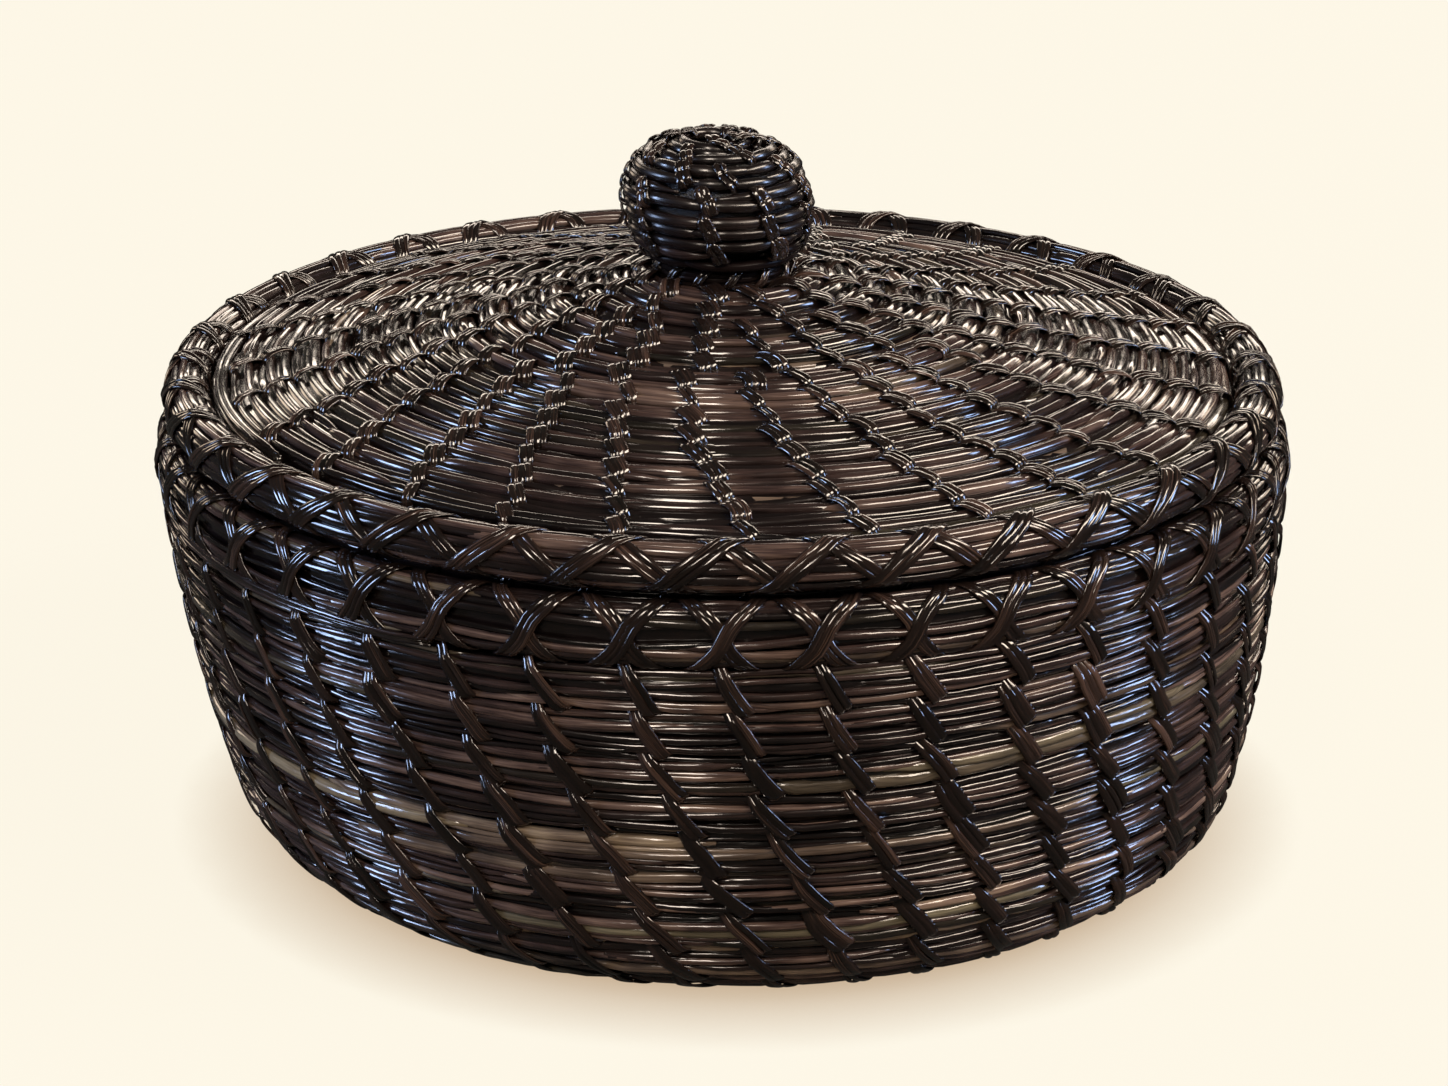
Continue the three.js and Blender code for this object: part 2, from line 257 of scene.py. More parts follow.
def ramp(tree, factor, stops):
    """The colour at factor, from a list of positions and colours."""
    node = add(tree, "ValToRGB", {0: factor})
    for position, colour in stops[1:-1]:
        node.color_ramp.elements.new(position).color = linear(colour)
    node.color_ramp.elements[0].color = linear(stops[0][1])
    node.color_ramp.elements[-1].color = linear(stops[-1][1])
    return node


def dyed_skin(tree, colour, rough, relief, depth, varnish):
    """The surface itself. The bump is relief * depth in millimetres."""
    bump = add(tree, "Bump", {"Height": relief, "Distance": depth * MM, "Strength": 1.0})
    skin = add(tree, "BsdfPrincipled", {
        "Base Color": colour, "Roughness": rough, "Normal": bump,
        "IOR": SKIN_IOR, "Specular IOR Level": varnish,
    })
    add(tree, "OutputMaterial", {"Surface": skin})


def grass_material(name, gloss, depth, shade_heights=None):
    """relief = dent + 0.08 streak + 0.25 pit. gloss is the least roughness, which comes in patches.

    The last argument gives the heights in millimetres up to which the varnish is gone and from which it is
    whole: painted shade, so the lower part shows almost no highlight."""
    material, tree = new_material(name)
    place = add(tree, "TexCoord").outputs["Object"]
    streak = grain(tree, STREAK, 3.0)
    dent = grain(tree, DENT, 1.0)
    pit = grain(tree, PIT, 1.0)
    blotch = add(tree, "TexNoise", {"Vector": place, "Scale": 1000 / BLOTCH, "Detail": 2.0})
    streaky = between(tree, streak, 0.3, 0.7, -0.12, 0.12)
    uneven = calculate(tree, "ADD", streaky, between(tree, blotch, 0.35, 0.65, -0.09, 0.09))
    tone = calculate(tree, "ADD", vertex_value(tree, "tone"), uneven, clamp=True)
    colour = blend(tree, vertex_value(tree, "green"), ramp(tree, tone, BROWNS), ramp(tree, tone, OLIVES))
    rough = between(tree, calculate(tree, "ADD", dent, streak), 0.75, 1.25, gloss, gloss + GLOSS_RANGE)
    relief = calculate(tree, "MULTIPLY_ADD", pit, 0.25, calculate(tree, "MULTIPLY_ADD", streak, 0.08, dent))
    varnish = VARNISH
    # Painted shade: the varnish fades out below the given heights, so the lower part shows few highlights.
    if shade_heights:
        height = add(tree, "SeparateXYZ", {"Vector": place}).outputs[2]
        varnish = between(tree, height, shade_heights[0] * MM, shade_heights[1] * MM, SHADE_VARNISH, VARNISH)
    dyed_skin(tree, colour, rough, relief, depth, varnish)
    return material


body_grass = grass_material("dyed_grass_body", 0.10, 0.17)
lid_grass = grass_material("dyed_grass_lid", 0.08, 0.055)
# The knob's lower half loses its varnish: painted shade, as the light falls from above.
knob_grass = grass_material("dyed_grass_knob", 0.19, 0.06, shade_heights=(134, 150))
print("stem materials:", body_grass.name, lid_grass.name, knob_grass.name)

# %% [markdown]
# The stitches and lashings are split leaf: a flat strip, dyed nearly black and pulled tight, so it is
# glossier than the stems. Fine ribs run along it, about a third of a millimetre apart, and short
# creases show where it bends.

# %% Split leaf
RIB = (14, 0.34)
CREASE = (3.4, 1.2)
CREASE_DEPTH = 0.08
LEAF_BROWNS = [(0, "#0b0807"), (0.5, "#1c1411"), (1, "#4e3c34")]

split_leaf, tree = new_material("dyed_split_leaf")
rib = grain(tree, RIB, 2.0)
crease = grain(tree, CREASE, 1.0)
ribbed = between(tree, rib, 0.3, 0.7, -0.3, 0.3)
leaf_tone = calculate(tree, "ADD", vertex_value(tree, "tone"), ribbed, clamp=True)
leaf_rough = between(tree, crease, 0.35, 0.65, 0.07, 0.18)
leaf_relief = calculate(tree, "MULTIPLY_ADD", rib, 0.35, crease)
dyed_skin(tree, ramp(tree, leaf_tone, LEAF_BROWNS), leaf_rough, leaf_relief, CREASE_DEPTH, VARNISH)

basket_kit = {"body": "basket", "slot": "body_grass", "material": body_grass}
lid_kit = {"body": "lid", "slot": "lid_grass", "material": lid_grass}
knob_kit = {"body": "lid", "slot": "knob_grass", "material": knob_grass}
basket_leaf = {"body": "basket", "slot": "lashing_strand", "material": split_leaf}
lid_leaf = {**basket_leaf, "body": "lid"}
print("materials:", [m.name for m in bpy.data.materials])

# %% [markdown]
# Everything on this basket is a strand: an outline carried along a path. One function takes all the
# strands of a piece at once, as stations in one long list, and a second puts the result into a mesh.
# A kit is a piece's body, slot, material and the nodes of the frame that it replaces.


# %% Strands into a mesh
def stations(lengths, step):
    """Numbers the strands and says how far along each station is, from 0 to 1."""
    count = np.maximum(4, np.ceil(lengths / step).astype(int) + 1)
    strand = np.repeat(np.arange(len(count)), count)
    first = np.repeat(np.cumsum(count) - count, count)
    share = (np.arange(len(strand)) - first) / (np.repeat(count, count) - 1)
    return strand, share


def carry(strand, centre, side, up, wide, high, outline):
    """corner = centre + side * wide * x + up * high * y, with (x, y) running round the outline."""
    corners = len(outline)
    across = side[:, None] * (wide[:, None] * outline[:, 0])[..., None]
    above = up[:, None] * (high[:, None] * outline[:, 1])[..., None]
    points = (centre[:, None] + across + above).reshape(-1, 3)
    k = np.arange(corners)
    following = (k + 1) % corners
    same = strand[1:] == strand[:-1]
    here = np.flatnonzero(same)[:, None]
    quads = np.stack([here * corners + k, (here + 1) * corners + k, (here + 1) * corners + following,
                      here * corners + following], -1).reshape(-1, 4)
    first = np.flatnonzero(np.r_[True, ~same])[:, None]
    last = np.flatnonzero(np.r_[~same, True])[:, None]
    caps = np.concatenate([first * corners + k, last * corners + k[::-1]])
    return points, quads, caps


def tint(mesh, tone, green):
    """Gives each vertex its tone, from 0 near black to 1 tan, and how olive it is."""
    for title, value in (("tone", tone), ("green", green)):
        layer = mesh.attributes.new(title, "FLOAT", "POINT")
        layer.data.foreach_set("value", value.astype(np.float32))


def put(name, mesh, kit):
    """Makes a mesh a finished piece that rides on its body."""
    mesh.shade_smooth()
    mesh.materials.append(kit["material"])
    piece = show(name, mesh)
    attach(piece, kit["body"])
    if "replaces" in kit:
        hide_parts(*kit["replaces"])


def build(name, kit, strand, frame_of, wide, high, outline, along, tone, green):
    """Strands in, a piece out. u is the way along a strand and v the way round it. Nothing is below 0."""
    points, quads, caps = carry(strand, *frame_of, wide, high, outline)
    points[:, 2] = np.maximum(points[:, 2], 0)
    corners = len(outline)
    mesh = bpy.data.meshes.new(name)
    loops = np.concatenate([quads.ravel(), caps.ravel()]).astype(np.int32)
    sizes = np.r_[np.full(len(quads), 4), np.full(len(caps), corners)]
    mesh.vertices.add(len(points))
    mesh.vertices.foreach_set("co", (points * MM).astype(np.float32).ravel())
    mesh.loops.add(len(loops))
    mesh.loops.foreach_set("vertex_index", loops)
    mesh.polygons.add(len(sizes))
    mesh.polygons.foreach_set("loop_start", (np.cumsum(sizes) - sizes).astype(np.int32))
    edges = np.linalg.norm(np.roll(outline, -1, 0) - outline, axis=1)
    round_it = np.r_[0, np.cumsum(edges)]
    station = quads // corners
    ring_step = np.tile(np.array([[0, 0, 1, 1]]) + np.arange(corners)[:, None], (len(quads) // corners, 1))
    u = np.concatenate([along[station].ravel(), along[caps // corners].ravel()])
    v = np.concatenate([(round_it[ring_step] * wide[station]).ravel(), np.zeros(caps.size)])
    layer = mesh.uv_layers.new(name="grass")
    layer.data.foreach_set("uv", (np.stack([u, v], -1) * MM).astype(np.float32).ravel())
    tint(mesh, np.repeat(tone, corners), np.repeat(green, corners))
    mesh.update(calc_edges=True)
    put(name, mesh, kit)
    triangles = 2 * len(quads) + len(caps) * (corners - 2)
    totals.append(triangles)
    print(f"{name}: {strand[-1] + 1} strands, {triangles} triangles")


totals = []

# %% [markdown]
# A stem is round. Only its outer side can be seen, so its outline has five corners there and two
# behind, and a hidden stem has five in all. A strip of split leaf is a flat lens.


# %% Outlines
def round_outline(*degrees):
    """(cos a, sin a) for each angle a."""
    angles = np.radians(degrees)
    return np.stack([np.cos(angles), np.sin(angles)], -1)


STEM_OUTLINE = round_outline(5, 47, 90, 133, 175, 235, 305)
HIDDEN_OUTLINE = round_outline(18, 90, 162, 234, 306)
CORE_OUTLINE = round_outline(*np.arange(22.5, 360, 45))
PLY_OUTLINE = np.array([(1, 0), (0.62, 0.72), (0, 1), (-0.62, 0.72), (-1, 0), (0, -0.8)])
print("corners: stem", len(STEM_OUTLINE), "hidden stem", len(HIDDEN_OUTLINE), "strip", len(PLY_OUTLINE))

# %% [markdown]
# A coiled wall is one bundle wound along a meridian: the line from the middle of the floor, out to the
# foot, round and up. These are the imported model's own lines and arcs, as a table against arc length.


# %% Meridians
PART_SAMPLES = 400


def line(start, end):
    """start + (end - start) t, as points (radius, height)."""
    return start + np.subtract(end, start) * np.linspace(0, 1, PART_SAMPLES)[:, None]


def arc(centre, radius, first, last):
    """centre + radius (cos a, sin a), for the angles from first to last."""
    angle = np.linspace(first, last, PART_SAMPLES)
    return centre + radius * np.stack([np.cos(angle), np.sin(angle)], -1)


def meridian(*parts):
    """A table of radius, height and direction against the length along the lines and arcs."""
    r, z = np.concatenate(parts).T
    length = np.r_[0, np.cumsum(np.hypot(np.diff(r), np.diff(z)))]
    keep = np.r_[True, np.diff(length) > 1e-6]
    r, z, length = r[keep], z[keep], length[keep]
    return {"s": length, "r": r, "z": z, "tr": np.gradient(r, length), "tz": np.gradient(z, length)}


def on(path, s):
    return [np.interp(s, path["s"], path[key]) for key in ("r", "z", "tr", "tz")]


# Basket body
FOOT_RADIUS = 92.0
FOOT_CORNER_RADIUS = 24.0
FOOT_CORNER_TURN = math.radians(75.8)
WALL_BOW_RADIUS = 369.0
BASKET_HEIGHT = 96.2
BODY_PITCH = 9.6
BODY_THICKNESS = 7.8
FLOOR_CUT = 0.5
FOOT_SHIFT = 3.9
RIM_HEIGHT = 12.2
RIM_WIDTH = 7.4
LASHING_ROOM = 1.6
CLEARANCE = 0.3
COIL_EYE = 0.8
COIL_TAIL = 2.0
SEAM_GAP = 0.6
PAST_BOW = 60

half = BODY_THICKNESS / 2
corner = FOOT_CORNER_RADIUS - half
bow = WALL_BOW_RADIUS - half
corner_z = FOOT_CORNER_RADIUS - FLOOR_CUT
corner_end = FOOT_CORNER_TURN - math.pi / 2
bow_r = FOOT_RADIUS + (corner - bow) * math.cos(corner_end)
bow_z = corner_z + (corner - bow) * math.sin(corner_end)
body_path = meridian(
    line((0, half - FLOOR_CUT), (FOOT_RADIUS, half - FLOOR_CUT)),
    arc((FOOT_RADIUS, corner_z), corner, -math.pi / 2, corner_end),
    arc((bow_r, bow_z), bow, corner_end, 0),
    line((bow_r + bow, bow_z), (bow_r + bow, bow_z + PAST_BOW)),
)
rim_z = BASKET_HEIGHT - LASHING_ROOM - RIM_HEIGHT / 2
rim_s = float(np.interp(rim_z, body_path["z"], body_path["s"]))
rim_radius = float(on(body_path, rim_s)[0])

# Lid
LID_RIM_DIAMETER = 9.4
LID_RIM_INSET = 2.8
LID_SLOPE = math.radians(13.6)
LID_PITCH = 7.1
LID_THICKNESS = 6.2
NECK_RADIUS = 14.0

lid_room = LID_RIM_DIAMETER / 2 + LASHING_ROOM
lid_rim_radius = rim_radius - LID_RIM_INSET
lid_rim_z = BASKET_HEIGHT + CLEARANCE + lid_room
lid_edge = lid_rim_radius - lid_room - CLEARANCE
lid_eye = NECK_RADIUS + CLEARANCE
lid_eye_z = lid_rim_z + (lid_edge - lid_eye) * math.tan(LID_SLOPE)
lid_path = meridian(line((lid_eye, lid_eye_z), (lid_edge, lid_rim_z)))
lid_rise = LID_THICKNESS / 2 / math.cos(LID_SLOPE)

# Knob
KNOB_RADIUS = 21.2
EQUATOR_RISE = 14.5
CROWN_RISE = 15.1
SHOULDER_RADIUS = 14.1
UNDER_RADIUS = 19.2
UNDER_TURN = math.pi / 3
KNOB_PITCH = 2.9
KNOB_STEM = 2.8
KNOB_SHIFT = -1.2

stem_half = KNOB_STEM / 2
neck_z = lid_eye_z + lid_rise
equator_z = neck_z + EQUATOR_RISE
knob_r = KNOB_RADIUS - stem_half
crown = CROWN_RISE - stem_half
shoulder = SHOULDER_RADIUS - stem_half
under = UNDER_RADIUS - stem_half
shoulder_x = knob_r - shoulder
crown_radius = (shoulder_x**2 + crown**2 - shoulder**2) / (2 * (crown - shoulder))
crown_end = math.atan2(crown_radius - crown, shoulder_x)
knob_path = meridian(
    arc((0, equator_z + crown - crown_radius), crown_radius, math.pi / 2, crown_end),
    arc((shoulder_x, equator_z), shoulder, crown_end, 0),
    arc((knob_r - under, equator_z), under, 0, -UNDER_TURN),
)
over_neck = knob_path["z"] > neck_z + CLEARANCE + stem_half
knob_end = float(knob_path["s"][over_neck][-1])
print(f"rim {rim_radius:.2f} at {rim_z:.1f}; lid eye {lid_eye_z:.2f}; knob top {equator_z + CROWN_RISE:.2f}")

# %% [markdown]
# A point on a coil is given by the turn it is on, how far it is across the bundle, from -1 at one seam
# to 1 at the next, and how far out of the wall's middle it lies. Turns run anticlockwise from +X. The
# wall's last turn goes on a little under the rim, so that its loose stems leave no dark slot there.

# %% Places on a coil
COIL_SAMPLES = 4000
TOP_FILL = 3.4
OUTSIDE = 1
INSIDE = -1


def coil(path, start, end, pitch, thickness, outward, shift):
    """A winding from start to end along a meridian, one turn to a pitch. shift(z) moves it along x."""
    form = Record(path=path, start=start, end=end, pitch=pitch, thick=thickness, outward=outward, shift=shift)
    form.turns = (end - start - 2 * COIL_TAIL - SEAM_GAP) / pitch + 1
    grid = np.linspace(0, form.turns, COIL_SAMPLES)
    radius = radius_of(form, grid)
    steps = np.diff(grid) * TURN * (radius[1:] + radius[:-1]) / 2
    form.grid = grid
    form.length = np.r_[0, np.cumsum(steps)]
    return form


def course(form, turn):
    """Middle and half width of the bundle along the meridian, and how full it is: it tapers at both ends."""
    seam = form.start + COIL_TAIL + SEAM_GAP / 2 + form.pitch * turn
    low = np.maximum(form.start, seam - form.pitch)
    high = np.minimum(form.end, seam)
    return (low + high) / 2, (high - low) / 2, np.clip((high - low) / form.pitch, 0, 1)


def turn_at(form, length):
    return np.interp(length, form.length, form.grid)


def length_of(form, turn):
    return np.interp(turn, form.grid, form.length)


def radius_of(form, turn):
    return on(form.path, course(form, turn)[0])[0]


def turned(angle, radius, height, nr, nz, shift=0, face=1):
    """centre = (radius cos a + shift, radius sin a, height), side = winding x up, up = face * normal."""
    c, s = np.cos(angle), np.sin(angle)
    centre = np.stack([radius * c + shift, radius * s, height], -1)
    up = face * np.stack([nr * c, nr * s, nz], -1)
    return centre, np.cross(np.stack([-s, c, np.zeros_like(c)], -1), up), up


def on_coil(form, turn, v, n, face=OUTSIDE):
    """radius = r + nr n, height = z + nz n, with n from the wall's middle, drawn in where the coil tapers."""
    middle, half_width, full = course(form, turn)
    r, z, tr, tz = on(form.path, middle + v * half_width)
    nr, nz = -tz * form.outward, tr * form.outward
    size = np.hypot(nr, nz)
    nr, nz = nr / size, nz / size
    skin = form.thick / 2
    n = skin - (skin - face * n) * (0.5 + 0.5 * full)
    height = z + nz * n
    return turned(TURN * turn, r + nr * n, height, nr, nz, form.shift(height), face)


def knob_shift(z):
    """The knob leans: by KNOB_SHIFT at its equator, and not at the neck."""
    return KNOB_SHIFT * (z - neck_z) / EQUATOR_RISE


body_end = rim_s - RIM_HEIGHT / 2 - LASHING_ROOM - CLEARANCE + TOP_FILL
body = coil(body_path, COIL_EYE, body_end, BODY_PITCH, BODY_THICKNESS, -1,
            lambda z: FOOT_SHIFT * (1 - z / rim_z))
lid = coil(lid_path, 0, float(lid_path["s"][-1]), LID_PITCH, LID_THICKNESS, 1, lambda z: 0 * z)
knob = coil(knob_path, COIL_EYE, knob_end, KNOB_PITCH, KNOB_STEM, 1, knob_shift)
FLOOR_TURNS = math.floor((FOOT_RADIUS - COIL_EYE) / BODY_PITCH)
print(f"body {body.turns:.2f} turns, lid {lid.turns:.2f}, knob {knob.turns:.2f}")

# %% [markdown]
# The stitches are laid out before the stems, because a stem is pinched wherever a stitch pulls it in.
# A stitch starts at one seam, slants across the bundle and dives into the next. On the wall there are
# a little over forty to a turn, so each column of stitches leans, as in the photograph.

# %% Rows of stitches
ROW_SAMPLES = 3000
FAR = 99.0
LEAST_RADIUS = 3
WALL_ROW_LEAD = 0.3016


def stitch_row(form, first, last, rates, slants, reach, seed, waver):
    """rates lists (turn, stitches per turn) and slants (turn, mm); a row is the integral of its rate."""
    grid = np.linspace(first, last, ROW_SAMPLES)
    rate = np.interp(grid, *np.transpose(rates))
    phase = np.r_[0, np.cumsum((rate[1:] + rate[:-1]) / 2 * np.diff(grid))]
    rng = np.random.default_rng(seed)
    count = int(phase[-1])
    numbers = np.arange(1, count)
    return Record(form=form, grid=grid, phase=phase, rate=rate, slant=np.array(slants), reach=reach,
                  numbers=numbers, turns=np.interp(numbers, phase, grid),
                  jitter=rng.normal(0, waver, count + 2))


def stitch_distance(row, turn, v):
    """Millimetres along the winding from the nearest stitch, where that stitch crosses the bundle at v."""
    start, end = row.reach
    around = TURN * np.maximum(radius_of(row.form, turn), LEAST_RADIUS)
    lean = np.interp(turn, *row.slant.T) * ((v - start) / (end - start) - 0.5)
    phase = np.interp(turn - lean / around, row.grid, row.phase, left=-9, right=-9)
    number = np.round(phase).astype(int)
    rate = np.interp(turn, row.grid, row.rate)
    jitter = row.jitter[np.clip(number, 0, len(row.jitter) - 1)]
    inside = (v >= min(start, end)) & (v <= max(start, end)) & (number > 0)
    return np.where(inside, (phase - number) / rate * around - jitter, FAR)


wall_rates = [(8, 40.21), (15.0, 40.21), (17.2, 40.13), (18.2, 40.05), (19.6, 40.0)]
wall_slants = [(12, 9.6), (16, 9.0), (19, 6.6)]
wall_row = stitch_row(body, FLOOR_TURNS - WALL_ROW_LEAD, body.turns - 0.12, wall_rates, wall_slants,
                      (1.35, -1.2), 11, 0.5)
lid_rates = [(0, 11.95), (2.4, 11.95), (2.6, 20.93), (5.6, 20.93), (5.8, 27.9), (15, 27.9)]
lid_row = stitch_row(lid, 0.385, lid.turns - 0.1, lid_rates, [(0, 4.8)], (-1.3, 1.0), 12, 0.5)
floor_rates = [(0, 6.0), (2, 10.0), (4.5, 20.2), (4.7, 30.2), (7.2, 30.2), (7.4, 40.17), (11, 40.17)]
floor_row = stitch_row(body, 0.8, FLOOR_TURNS + 0.2, floor_rates, [(0, 9.0)], (1.1, -1.3), 13, 0.6)
print("stitches of wall, lid and floor:", [len(row.turns) for row in (wall_row, lid_row, floor_row)])

# %% [markdown]
# A bundle of the real basket is a handful of stems laid in side by side, each as long as the plant
# gave, fed in where another runs out. So each lane of a bundle is cut into stems of random length.
# A stem wanders a little, thins at both ends, and dips where a stitch holds it down.

# %% Stems along a coil
TIP = 9.0
TIP_SINK = 1.1
TEXTURE_RUN = 5000


def cut_lanes(rng, lanes, first, last, short, long):
    """Fills each lane from first to last millimetre. Returns lane number, start and end of each stem."""
    rows = []
    for lane in range(lanes):
        here = first - rng.uniform(0, long)
        while here < last:
            size = rng.uniform(short, long)
            rows.append((lane, max(here, first), min(here + size, last)))
            here += size - TIP
    table = np.array([row for row in rows if row[2] - row[1] > 3 * TIP])
    return table[:, 0].astype(int), table[:, 1], table[:, 2]


def along_stems(start, end, step):
    """Stem, share of its way and millimetres at each station, and 3 t^2 - 2 t^3 with t the way into a tip."""
    strand, share = stations(end - start, step)
    lengths = (end - start)[strand]
    distance = share * lengths
    t = np.clip(np.minimum(distance, lengths - distance) / TIP, 0, 1)
    return strand, share, distance, t * t * (3 - 2 * t)


def coil_stems(name, kit, form, span, face, lanes, rows, seed, radius=0.95, spread=0.12, sink=0.0,
               proud=0.16, step=4.0, short=80, long=260, thick=0.07, pale=0.6, olive=0.16, palest=0.85,
               drift=0.07, wander=0.05, power=4, pinch_width=2.1, squeeze=0.10, dip=0.45,
               outline=STEM_OUTLINE):
    """Lays stems on one face of a coil, in the lanes at v. Each row of stitches comes with the turns ahead.

    n = skin - width - sink + proud - dip * pinch - TIP_SINK at a tip, with pinch = exp(-(distance / width)^2)
    and skin = half the thickness * (1 - |v|^p)^(1/p), held up a little at the seam.
    Lengths are in mm. thick, pale and olive are shares of the stems; drift and wander, of half a bundle."""
    rng = np.random.default_rng(seed)
    first, last = length_of(form, np.array(span))
    lane, start, end = cut_lanes(rng, len(lanes), first, last, short, long)
    count = len(lane)
    strand, share, distance, taper = along_stems(start, end, step)
    stout = rng.random(count) < thick
    size = radius * np.exp(rng.normal(0, spread, count))
    size = np.where(stout, radius * rng.uniform(1.4, 1.85, count), size)
    tone = np.clip(rng.beta(2.2, 3.0, count) * palest, 0, 1)
    tan = rng.random(count) < np.where(stout, pale, pale * 0.1)
    tone = np.where(tan, rng.uniform(0.58, 0.86, count), tone)
    green = np.where(rng.random(count) < olive, rng.uniform(0.3, 1, count), 0) + 0.3 * tan
    level = rng.normal(0, proud, count) + np.where(stout, 0.18, 0)
    stray = rng.normal(0, drift, (2, count))[:, strand]
    waves = rng.uniform(0, TURN, (4, count))[:, strand]
    offset = rng.uniform(0, TEXTURE_RUN, count)

    turn = turn_at(form, start[strand] + distance)
    full = course(form, turn)[2]
    v = np.asarray(lanes)[lane][strand] + stray[0] * (1 - share) + stray[1] * share
    v = v + wander * np.sin(distance / 21 + waves[0])
    v = v + wander * np.sin(distance / 9.5 + waves[1])
    v = np.clip(v, -0.98, 0.98)
    pinch = np.zeros(len(v))
    for row, ahead in rows:
        distance_to = stitch_distance(row, turn + ahead, v - 2 * ahead)
        pinch = np.maximum(pinch, np.exp(-((distance_to / pinch_width) ** 2)))
    v = v * (1 - 0.10 * pinch)

    thin = (0.30 + 0.70 * taper) * (1 + 0.06 * np.sin(distance / 3.7 + waves[2]))
    wide = size[strand] * thin * (0.35 + 0.65 * full)
    wide = wide * (1 - squeeze * pinch)
    skin = form.thick / 2 * np.maximum(1 - np.abs(v) ** power, 0.02) ** (1 / power)
    n = skin - wide - sink + level[strand] + 0.10 * np.sin(distance / 6.3 + waves[3])
    n = n - dip * pinch - TIP_SINK * (1 - taper)
    n = np.minimum(n, form.thick / 2 - wide * 0.55 + 0.25)
    build(name, kit, strand, on_coil(form, turn, v, n, face), wide, wide, outline,
          distance + offset[strand], tone[strand], np.clip(green, 0, 1)[strand])


def lanes_of(count, first=1):
    """The middles of count lanes across a bundle from -1 to 1, or with first 2 the grooves between them."""
    return [-1 + k / count for k in range(first, 2 * count, 2)]


# %% [markdown]
# Behind the stems that show there is more grass. A plain core fills each bundle, so that no light
# comes through the gaps. It is coloured near black, which is painted shade for the gaps between the stems. It
# stands for the frame's coil, which is hidden from here on.

# %% Bundle cores
# near black: painted shade for the gaps between the stems
SHADE_CORE_TONE = 0.12
CORE_STEP = 7.0
CORE_LEAST = 0.3
SPAN_END = 0.02

wall_span = (FLOOR_TURNS, body.turns - SPAN_END)
floor_span = (0.25, FLOOR_TURNS)
lid_span = (SPAN_END, lid.turns - SPAN_END)
knob_span = (0.0, knob.turns - SPAN_END)


def stands_for(kit, *nodes):
    """The same kit, for a piece that replaces these nodes of the frame."""
    return {**kit, "replaces": nodes}


def coil_core(name, kit, form, span, wide_share, high_share):
    """One strand down the middle of the bundle, as shares of its width and thickness."""
    first, last = length_of(form, np.array(span))
    strand, share = stations(np.array([last - first]), CORE_STEP)
    turn = turn_at(form, first + share * (last - first))
    _, half_width, full = course(form, turn)
    wide = np.maximum(half_width * wide_share, CORE_LEAST)
    high = np.maximum(form.thick / 2 * high_share * (0.4 + 0.6 * full), CORE_LEAST)
    tone = np.full(len(turn), SHADE_CORE_TONE)
    build(name, kit, strand, on_coil(form, turn, 0 * turn, 0 * turn), wide, high, CORE_OUTLINE,
          share * (last - first), tone, 0 * tone)


coil_core("wall_core", stands_for(basket_kit, "wall_coil"), body, wall_span, 0.86, 0.66)
coil_core("floor_core", stands_for(basket_kit, "base_coil"), body, floor_span, 0.9, 0.66)
coil_core("lid_core", stands_for(lid_kit, "lid_coil"), lid, lid_span, 0.86, 0.62)

# %% [markdown]
# The wall shows six lanes of fine stems of very uneven thickness, and now and then a thick pale one.
# A second layer lies in the grooves between them, so that a gap shows grass and not the core.

# %% Wall and floor stems
wall_rows = [(wall_row, 0)]
floor_rows = [(floor_row, 0)]
coil_stems("wall_stems_outside", basket_kit, body, wall_span, OUTSIDE, lanes_of(6), wall_rows, 21,
           radius=0.78, spread=0.27, sink=-0.05, step=4.4, proud=0.26, drift=0.14, thick=0.09)
# This layer keeps only darker tones: painted shade in the grooves between the stems in front.
coil_stems("wall_stems_behind", basket_kit, body, wall_span, OUTSIDE, lanes_of(6, first=2), wall_rows, 22,
           radius=0.72, spread=0.15, sink=1.0, step=5.0, outline=HIDDEN_OUTLINE, thick=0, palest=0.5)
coil_stems("wall_stems_inside", basket_kit, body, wall_span, INSIDE, lanes_of(5), wall_rows, 23,
           radius=0.92, step=5.0)
coil_stems("floor_stems_under", basket_kit, body, floor_span, OUTSIDE, lanes_of(5), floor_rows, 24,
           step=5.0, outline=HIDDEN_OUTLINE)
coil_stems("floor_stems_inside", basket_kit, body, floor_span, INSIDE, lanes_of(5), floor_rows, 25,
           step=4.5)

# %% [markdown]
# The lid's bundles are rounder, with three lanes of shorter and thicker stems. Its stitches reach from
# one turn into the next, so a stem looks for them on its own turn and on the one after.

# %% Lid stems
lid_rows = [(lid_row, 0), (lid_row, 1)]
coil_stems("lid_stems_top", lid_kit, lid, lid_span, OUTSIDE, lanes_of(3), lid_rows, 31,
           radius=1.18, spread=0.17, sink=-0.05, step=2.9, short=45, long=150, thick=0, power=2.3, dip=0.30,
           squeeze=0.07, proud=0.26, drift=0.15, pale=0.03, olive=0.08, palest=0.80)
# This layer keeps only darker tones: painted shade in the grooves between the stems in front.
coil_stems("lid_stems_behind", lid_kit, lid, lid_span, OUTSIDE, lanes_of(3, first=2), lid_rows, 32,
           radius=1.0, spread=0.15, sink=1.15, step=4.5, outline=HIDDEN_OUTLINE, thick=0, palest=0.4,
           olive=0, power=2.3)
coil_stems("lid_stems_under", lid_kit, lid, lid_span, INSIDE, lanes_of(4), lid_rows, 33, step=4.5, power=3)

# %% [markdown]
# A stitch is two or three narrow strips side by side. It arches over the bundle, a little proud of the
# stems, and dives at both ends. The strips are rolled and spaced at random, so each catches the light
# in its own way.

# %% Stitches
PLY_HALF = 0.34
LEAF_RUN = 4000
STITCH_LENGTH = 14


def unit(vectors):
    return vectors / np.linalg.norm(vectors, axis=-1, keepdims=True)


def strip_frame(centre, up, axis):
    """side = along x up and up = side x along, both of length 1, for a strip that runs along this axis."""
    along = unit(np.gradient(centre, axis=axis))
    side = unit(np.cross(along, up))
    return side, np.cross(side, along)


def rolled(side, up, roll):
    """side cos r + up sin r, and up cos r - side sin r."""
    return side * np.cos(roll) + up * np.sin(roll), up * np.cos(roll) - side * np.sin(roll)


